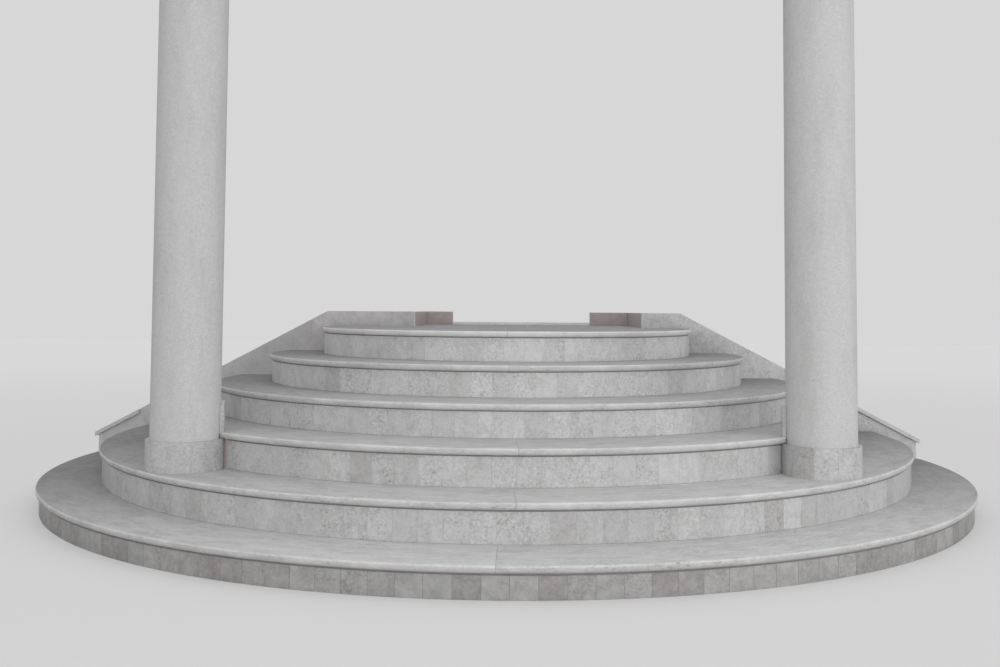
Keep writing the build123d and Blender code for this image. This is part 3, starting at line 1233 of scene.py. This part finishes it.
@dataclass
class Risers:
    """The upright tiles on the front of every step. They are cut to one height for the low
    steps and to another for the high ones, and bedding mortar fills what is left under the
    nosing, a little further back: a dark band, deeper on the low steps, that is mortar and also
    painted shadow under the nosing. The third riser ends in a strip of pointing on the left."""

    sizes: FlightSizes
    palette: Palette
    rule: Tree
    tile_width: float = 0.111
    arris: float = 0.35 * MM
    joint: float = 0.4 * MM
    foot_joint: float = 2.0 * MM
    # heights of the dark band under each nosing, deeper on the low steps: mortar and painted shadow of the
    # nosing
    mortar_and_shadow_lines: tuple[float, ...] = (13 * MM, 11 * MM, 9.5 * MM, 6.5 * MM, 6 * MM, 5.5 * MM)
    bed_face: float = 0.8 * MM
    bed_recess: float = 4 * MM
    foot_line: float = 1.3 * MM
    tuck: float = 12 * MM
    end_joint: float = 24 * MM
    pointing_face: float = 0.5 * MM
    pointing_joint: float = 0.5 * MM
    seed: int = 20
    pointing_seed: int = 30

    def build(self) -> None:
        """Lay every riser."""
        for step in range(1, STEPS + 1):
            reach = back_bearing(self.sizes.core[step - 1], self.sizes.riser_centre)
            reach *= self.sizes.riser[step - 1]
            name = f"riser_{step}_tiles"
            if step == NOTCHED_STEP:
                piece = join(name, self.notched_runs(reach))
            else:
                piece = self.row(step, -reach, reach, name)
            trim_at_back(piece, self.palette.mortar)
            finish_piece(piece, [f"riser_{step}"])

    def room(self, step: int) -> Point3:
        """Room that a riser's stones have.

        Args:
            step: The step's number.

        Returns:
            Its depth, and the heights of its foot and of its top.
        """
        index = step - 1
        depth = self.sizes.riser[index] - self.sizes.core[index] - BACK_GAP
        return depth, self.sizes.riser_low[index], self.sizes.tread_low[index] - HEAD_GAP

    def row(self, step: int, start: float, end: float, name: str, overrun: Point2 = (0, 0)) -> Piece:
        """Lay a run of tiles between two places of a riser.

        Args:
            step: The step's number.
            start: Where the run starts, along the face.
            end: Where it ends.
            name: Name of the piece.
            overrun: How far the mortar runs on before and after the tiles.

        Returns:
            The run of tiles.
        """
        depth, foot, ceiling = self.room(step)
        # under the nosing, a band of dark mortar that is also painted shadow
        top = ceiling - self.mortar_and_shadow_lines[step - 1]
        profile = chamfered_profile(depth, foot + self.foot_line, top, self.arris)
        bed = [(self.bed_face, foot), (depth, foot), (depth, ceiling), (self.bed_recess, ceiling),
               (self.bed_recess, top - self.bed_face), (self.bed_face, top - self.bed_face)]
        count = round((end - start) / self.tile_width)
        lowest = step == 1
        course = Course(
            profile, self.sizes.riser_centre, self.sizes.riser[step - 1], start, (end - start) / count,
            count, self.seed + step, self.palette.foot_riser if lowest else self.palette.riser,
            self.palette.mortar, bed, self.foot_joint if lowest else self.joint, bed_overrun=overrun,
        )
        return course.lay(self.rule, name)

    def notched_runs(self, back: float) -> list[Piece]:
        """Lay the third riser, which the columns cut into three runs.

        Args:
            back: Where the riser meets the back plane, along the face.

        Returns:
            The three runs and the pointing.
        """
        radius = self.sizes.riser[NOTCHED_STEP - 1]
        column, _ = round_node("column_right")
        _, band = round_node("column_band_right")
        reach, bearing = distance_and_bearing(self.sizes.riser_centre, column)
        half = math.acos((radius**2 + reach**2 - band**2) / (2 * radius * reach))
        inner = (bearing - half) * radius
        outer = (bearing + half) * radius
        joint = self.end_joint + self.tuck
        return [
            self.row(NOTCHED_STEP, -inner + self.end_joint, inner + self.tuck, "front", (joint, 0.0)),
            self.row(NOTCHED_STEP, outer - self.tuck, back, "right"),
            self.row(NOTCHED_STEP, -back, -outer + self.tuck, "left"),
            self.pointing(-inner - self.tuck, joint),
        ]

    def pointing(self, start: float, width: float) -> Piece:
        """Fill the wide joint between the third riser and the left column's band.

        Args:
            start: Where the joint starts, along the face.
            width: Its width.

        Returns:
            The filling.
        """
        depth, low, high = self.room(NOTCHED_STEP)
        face = self.pointing_face
        course = Course(
            [(face, low), (depth, low), (depth, high), (face, high)], self.sizes.riser_centre,
            self.sizes.riser[NOTCHED_STEP - 1], start, width, 1, self.pointing_seed, self.palette.pointing,
            self.palette.mortar, joint=self.pointing_joint, lippage=0.0, arris=0.0,
        )
        return course.lay(self.rule, "pointing")


@dataclass
class Columns:
    """The two rendered columns and the stone bands round their feet."""

    sizes: FlightSizes
    palette: Palette
    rule: Tree
    shaft_sides: int = 120
    shaft_rings: int = 280
    sharp_degrees: float = 50.0
    undulation: float = 0.8 * MM
    swells_per_metre: float = 14.0
    tile_width: float = 0.113
    arris: float = 0.7 * MM
    joint: float = 0.5 * MM
    segments: int = 8
    riser_lap: float = 1 * MM
    nosing_cover: float = 14 * MM
    lower_seed: int = 76
    upper_seed: int = 82

    def build(self) -> None:
        """Build both columns."""
        shaft_rule = self.shaft_rule()
        index = NOTCHED_STEP - 1
        for number, side in enumerate(SIDES):
            centre, shaft = self.build_shaft(side, shaft_rule)
            _, radius = round_node(f"column_band_{side}")
            limit = self.sizes.riser[index] + self.riser_lap
            meeting, bearing = self.meeting(centre, radius, self.sizes.riser_centre, limit)
            self.lay_band(f"column_band_{side}", centre, shaft, radius, bearing - meeting,
                          bearing + meeting, self.lower_seed + number)
            limit = self.sizes.nose[index] - self.nosing_cover
            meeting, bearing = self.meeting(centre, radius, self.sizes.centre, limit)
            self.lay_band(f"column_upper_band_{side}", centre, shaft, radius, bearing + meeting,
                          bearing + 2 * math.pi - meeting, self.upper_seed + number)

    def shaft_rule(self) -> Tree:
        """Rule of a rendered shaft: a closed cylinder, slightly uneven from the trowel.

        Returns:
            The rule.
        """
        tree, add, given = new_rule("rendered_shaft", SHAFT_INPUTS)
        shaft = add("GeometryNodeMeshCylinder", {
            "Vertices": self.shaft_sides, "Side Segments": self.shaft_rings, "Radius": given["Radius"],
            "Depth": given["Height"]})
        place = add("GeometryNodeInputPosition")
        swell = add(NOISE, {"Vector": place, "Scale": self.swells_per_metre, "Detail": 3.0,
                            "Roughness": 0.5})
        depth = add(MATH, (swell, 1.0), operation="SUBTRACT")
        depth = add(MATH, (depth, given["Undulation"]), operation="MULTIPLY")
        outward = add(VECTOR_MATH, (place, (1, 1, 0)), operation="MULTIPLY")
        unit = add(VECTOR_MATH, (outward,), operation="NORMALIZE")
        moved = add(VECTOR_MATH, {0: unit, 3: depth}, operation="SCALE")
        shaft = add("GeometryNodeSetPosition", {"Geometry": shaft, "Offset": moved})
        shaft = add("GeometryNodeTransform", {"Geometry": shaft, "Translation": given["Foot"]})
        shaft = add("GeometryNodeSetMaterial", {"Geometry": shaft, "Material": given["Finish"]})
        add("NodeGroupOutput", (shaft,))
        return tree

    def build_shaft(self, side: str, rule: Tree) -> tuple[Point2, float]:
        """Build one column's shaft.

        Args:
            side: Left or right.
            rule: The rule of rendered shafts.

        Returns:
            The shaft's centre in plan and its radius.
        """
        low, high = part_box(f"column_{side}")
        centre, radius = round_node(f"column_{side}")
        height = high[2] - low[2]
        piece = follow_rule(f"column_{side}_shaft", rule, {
            "Radius": radius, "Height": height, "Foot": (*centre, low[2] + height / 2),
            "Undulation": self.undulation, "Finish": self.palette.column})
        finish_piece(piece, [f"column_{side}"], self.sharp_degrees)
        return centre, radius

    def meeting(self, centre: Point2, radius: float, middle: Point2, limit: float) -> Point2:
        """Turn from a column's outermost point to where it meets a circle, and that point's bearing."""
        reach, bearing = distance_and_bearing(middle, centre)
        return math.acos((limit**2 - reach**2 - radius**2) / (2 * reach * radius)), bearing

    def lay_band(self, node: str, centre: Point2, shaft: float, radius: float, start: float, end: float,
                 seed: int) -> None:
        """Lay one band of tiles round a column.

        Args:
            node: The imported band's name.
            centre: The column's centre in plan.
            shaft: Radius of the shaft.
            radius: Radius of the band's outer face.
            start: Bearing of the band's start.
            end: Bearing of its end.
            seed: Seed of the tiles' widths and tones.
        """
        low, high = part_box(node)
        run = (end - start) * radius
        count = round(run / self.tile_width)
        profile = chamfered_profile(radius - shaft - BACK_GAP, low[2], high[2], self.arris)
        course = Course(
            profile, centre, radius, start * radius, run / count, count, seed, self.palette.band,
            self.palette.mortar, joint=self.joint, segments=self.segments,
        )
        finish_piece(course.lay(self.rule, f"{node}_tiles"), [node])


@dataclass
class Skirtings:
    """The raking skirtings with their coping, and the skirtings of the recess. A raking one
    shows a strip of bright sawn edge where it turns into the recess."""

    palette: Palette
    stone_length: float = 0.62
    corner_strip: float = 9 * MM
    joint: float = 0.8 * MM
    top_arris: float = 3.0 * MM
    seed: int = 40

    def build(self) -> None:
        """Cut every skirting into stones."""
        rakes = {"left": self.palette.skirting, "right": self.palette.speckled_skirting}
        for number, (side, corner) in enumerate(SIDES.items()):
            seed = self.seed + number
            self.cut(f"skirting_{side}", 0, seed, rakes[side], corner)
            self.cut(f"coping_{side}", 0, seed + 4, self.palette.sawn)
            self.cut(f"skirting_end_{side}", 0, seed + 6, self.palette.sawn)
            # recess and door skirtings: painted shade and painted pink light of the house walls
            self.cut(f"recess_skirting_{side}", 1, seed + 8, self.palette.shaded_skirting)
            self.cut(f"door_skirting_{side}", 0, seed + 10, self.palette.shaded_skirting)

    def cut(self, node: str, along: int, seed: int, finish: Material, corner: int = 0) -> None:
        """Cut one packed skirting into stones.

        Args:
            node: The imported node's name.
            along: Number of the axis that the joints lie along.
            seed: Seed of the stones' tones.
            finish: The stones' material.
            corner: 1 where a sawn edge shows at the low end, -1 at the high end, or zero.
        """
        low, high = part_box(node)
        axis = Vector((0, 0, 0))
        axis[along] = 1
        joints = even_joints(low[along], high[along], self.stone_length)
        sawn = -1
        if corner > 0:
            joints = [low[along] + self.corner_strip, *joints]
            sawn = 0
        elif corner < 0:
            joints = [*joints, high[along] - self.corner_strip]
            sawn = len(joints)
        stack = StoneStack(seed)
        ends = [-FAR, *joints, FAR]
        for number, (start, end) in enumerate(zip(ends, ends[1:])):
            stone = node_solid(node)
            cut_by_plane(stone, axis * (start + self.joint / 2), -axis)
            cut_by_plane(stone, axis * (end - self.joint / 2), axis)
            stack.add(stone, self.top_arris, int(number == sawn))
        stack.finish(f"{node}_stones", "skirting_stone", node, finish, self.palette.sawn)


@dataclass
class Paving:
    """The flat slabs of the landing behind its nosed border, and of the recess."""

    sizes: FlightSizes
    palette: Palette
    border_depth: float
    slab: float = 0.40
    joint: float = 1.6 * MM
    recess_gap: float = 0.5 * MM
    sill_arris: float = 3 * MM
    rim_steps: int = 72
    seed: int = 70

    def build(self) -> None:
        """Lay the landing's field, the recess floor and the sill."""
        radius = self.sizes.nose[-1] - self.border_depth - self.joint
        turn = back_bearing(radius, self.sizes.centre)
        rim = [-turn + 2 * turn * index / self.rim_steps for index in range(self.rim_steps + 1)]
        middle = self.sizes.centre[1]
        outline = [(radius * math.sin(place), middle - radius * math.cos(place)) for place in rim]
        self.field("landing_field", "landing", outline, self.seed)
        low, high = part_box("recess_floor")
        outline = [(low[0], self.recess_gap), (high[0], self.recess_gap),
                   (high[0], high[1]), (low[0], high[1])]
        self.field("recess_slabs", "recess_floor", outline, self.seed + 1)
        stack = StoneStack(self.seed + 2, self.sill_arris)
        stack.add(node_solid("door_sill"))
        # the sill takes the landing material, with its painted shade and painted reflection
        stack.finish("sill_stone", "tread_stone", "door_sill", self.palette.landing)

    def field(self, name: str, node: str, outline: list[Point2], seed: int) -> None:
        """Cut an outline into square slabs and lay them.

        Args:
            name: Name of the piece.
            node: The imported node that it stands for, which gives its heights.
            outline: The field's outline in plan.
            seed: Seed of the slabs' tones.
        """
        low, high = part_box(node)
        stack = StoneStack(seed)
        edges = []
        for places in zip(*outline):
            start, end = min(places), max(places)
            edges.append([start, *even_joints(start, end, self.slab), end])
        columns, rows = edges
        half = self.joint / 2
        for west, east in zip(columns, columns[1:]):
            for south, north in zip(rows, rows[1:]):
                cell = bmesh.new()
                cell.faces.new([cell.verts.new((x, y, low[2])) for x, y in outline])
                for spot, way in (((west + half, 0, 0), (-1, 0, 0)), ((east - half, 0, 0), (1, 0, 0)),
                                  ((0, south + half, 0), (0, -1, 0)), ((0, north - half, 0), (0, 1, 0))):
                    everything = [*cell.verts, *cell.edges, *cell.faces]
                    bmesh.ops.bisect_plane(cell, geom=everything, dist=WELD, plane_co=spot, plane_no=way,
                                           clear_outer=True)
                if not cell.faces:
                    cell.free()
                    continue
                raised = bmesh.ops.extrude_face_region(cell, geom=cell.faces[:])["geom"]
                top = [item for item in raised if isinstance(item, bmesh.types.BMVert)]
                bmesh.ops.translate(cell, verts=top, vec=(0, 0, high[2] - low[2]))
                stack.add(cell)
        # the slabs take the landing material, with its painted shade and painted reflection
        stack.finish(name, "tread_stone", node, self.palette.landing)


def dress_core(palette: Palette) -> None:
    """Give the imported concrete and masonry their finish.

    Args:
        palette: The materials.
    """
    finishes = {node: palette.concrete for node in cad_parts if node.startswith("core_")}
    finishes |= {f"skirting_fill_{side}": palette.mortar for side in SIDES}
    for node, finish in finishes.items():
        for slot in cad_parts[node].material_slots:
            slot.material = finish
        log.info("%s: packed solid", node)


@dataclass(frozen=True)
class Softbox:
    """A large soft lamp."""

    name: str
    spot: Point3
    aim: Point3
    size: Point2
    power: float
    high: bool = False

    def hang(self, unlit: bpy.types.Collection) -> None:
        """Put the lamp up.

        Args:
            unlit: Holds the floor, which a low lamp leaves out, so that no bright pool shows on it.
        """
        data = bpy.data.lights.new(self.name, "AREA")
        data.shape = "RECTANGLE"
        data.size, data.size_y = self.size
        data.energy = self.power
        lamp = bpy.data.objects.new(self.name, data)
        lamp.location = self.spot
        way = Vector(self.aim) - Vector(self.spot)
        lamp.rotation_euler = way.to_track_quat("-Z", "Y").to_euler()
        lamp.visible_camera = False
        if not self.high:
            lamp.light_linking.receiver_collection = unlit
        bpy.context.scene.collection.objects.link(lamp)


@dataclass
class Studio:
    """Plain pale floor and backdrop, soft light and the camera."""

    floor_size: float = 60.0
    eye: Point3 = (0.0881, -7.0933, 1.1127)
    pitch: float = -0.0486
    yaw: float = -0.0196
    roll: float = 0.0070
    lens: float = 37.557
    sensor: float = 36.0
    shift_up: float = -0.074
    backdrop: float = 0.68
    fill: float = 0.55
    softboxes: tuple[Softbox, ...] = (
        Softbox("front", (0.8, -10.5, 1.8), (0.2, -1.0, 0.7), (8.0, 3.0), 218.0),
        Softbox("right", (8.0, -6.5, 1.8), (0.5, -1.0, 0.7), (5.0, 3.0), 146.0),
        Softbox("left", (-8.0, -6.5, 1.8), (-0.5, -1.0, 0.7), (5.0, 3.0), 18.0),
        Softbox("sky", (0.8, -4.4, 6.4), (0.3, -2.0, 0.0), (6.0, 3.5), 38.0, high=True),
    )

    def build(self) -> None:
        """Build the studio."""
        builder = bmesh.new()
        bmesh.ops.create_grid(builder, x_segments=1, y_segments=1, size=self.floor_size / 2)
        floor = new_object("floor", builder, StudioFinish("studio_paper", "d8d8d8").build())
        floor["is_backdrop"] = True
        unlit = bpy.data.collections.new("unlit_floor")
        unlit.objects.link(floor)
        unlit.collection_objects[0].light_linking.link_state = "EXCLUDE"
        self.light_world()
        for softbox in self.softboxes:
            softbox.hang(unlit)
        self.add_camera()

    def light_world(self) -> None:
        """Even light from all round, and a pale backdrop."""
        world = bpy.data.worlds.new("studio")
        bpy.context.scene.world = world
        world.use_nodes = True
        world.node_tree.nodes.clear()
        add = partial(add_node, world.node_tree)
        rays = add("ShaderNodeLightPath").node.outputs
        seen = rays["Is Camera Ray"]
        for ray in ("Is Glossy Ray", "Is Transmission Ray"):
            seen = add(MATH, (seen, rays[ray]), operation="MAXIMUM")
        strength = add(RANGE, (seen, 0, 1, self.fill, self.backdrop))
        add("ShaderNodeOutputWorld", (add("ShaderNodeBackground", (linear("ffffff"), strength)),))

    def add_camera(self) -> None:
        """Set the camera at the photograph's viewpoint."""
        ahead = Vector((math.sin(self.yaw), math.cos(self.yaw), 0))
        right = Vector((math.cos(self.yaw), -math.sin(self.yaw), 0))
        up = Vector((0, 0, 1))
        view = math.cos(self.pitch) * ahead - math.sin(self.pitch) * up
        top = math.sin(self.pitch) * ahead + math.cos(self.pitch) * up
        side = math.cos(self.roll) * right + math.sin(self.roll) * top
        head = -math.sin(self.roll) * right + math.cos(self.roll) * top
        data = bpy.data.cameras.new("camera")
        data.lens = self.lens
        data.sensor_width = self.sensor
        data.shift_y = self.shift_up
        camera = bpy.data.objects.new("camera", data)
        axes = Matrix((side, head, -view)).transposed()
        camera.matrix_world = Matrix.Translation(self.eye) @ axes.to_4x4()
        bpy.context.scene.collection.objects.link(camera)
        bpy.context.scene.camera = camera


def main() -> None:
    """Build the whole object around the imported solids."""
    logging.basicConfig(level=logging.INFO, format="%(name)s %(message)s")
    solid_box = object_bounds()
    bpy.context.scene.view_settings.view_transform = "Standard"
    Studio().build()
    sizes = FlightSizes()
    marks = tuple(sizes.nose_spot(1, bearing, CHIP_INSET) for bearing in CHIP_BEARINGS)
    palette = Palette(sizes.centre, marks)
    rule = course_rule()
    treads = Treads(sizes, palette, rule)
    treads.build()
    Risers(sizes, palette, rule).build()
    Columns(sizes, palette, rule).build()
    Skirtings(palette).build()
    Paving(sizes, palette, treads.border_depth).build()
    dress_core(palette)
    boxes = {"solid": solid_box, "visual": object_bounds()}
    plain = {name: [[float(value) for value in corner] for corner in box] for name, box in boxes.items()}


if __name__ == "__main__":
    main()
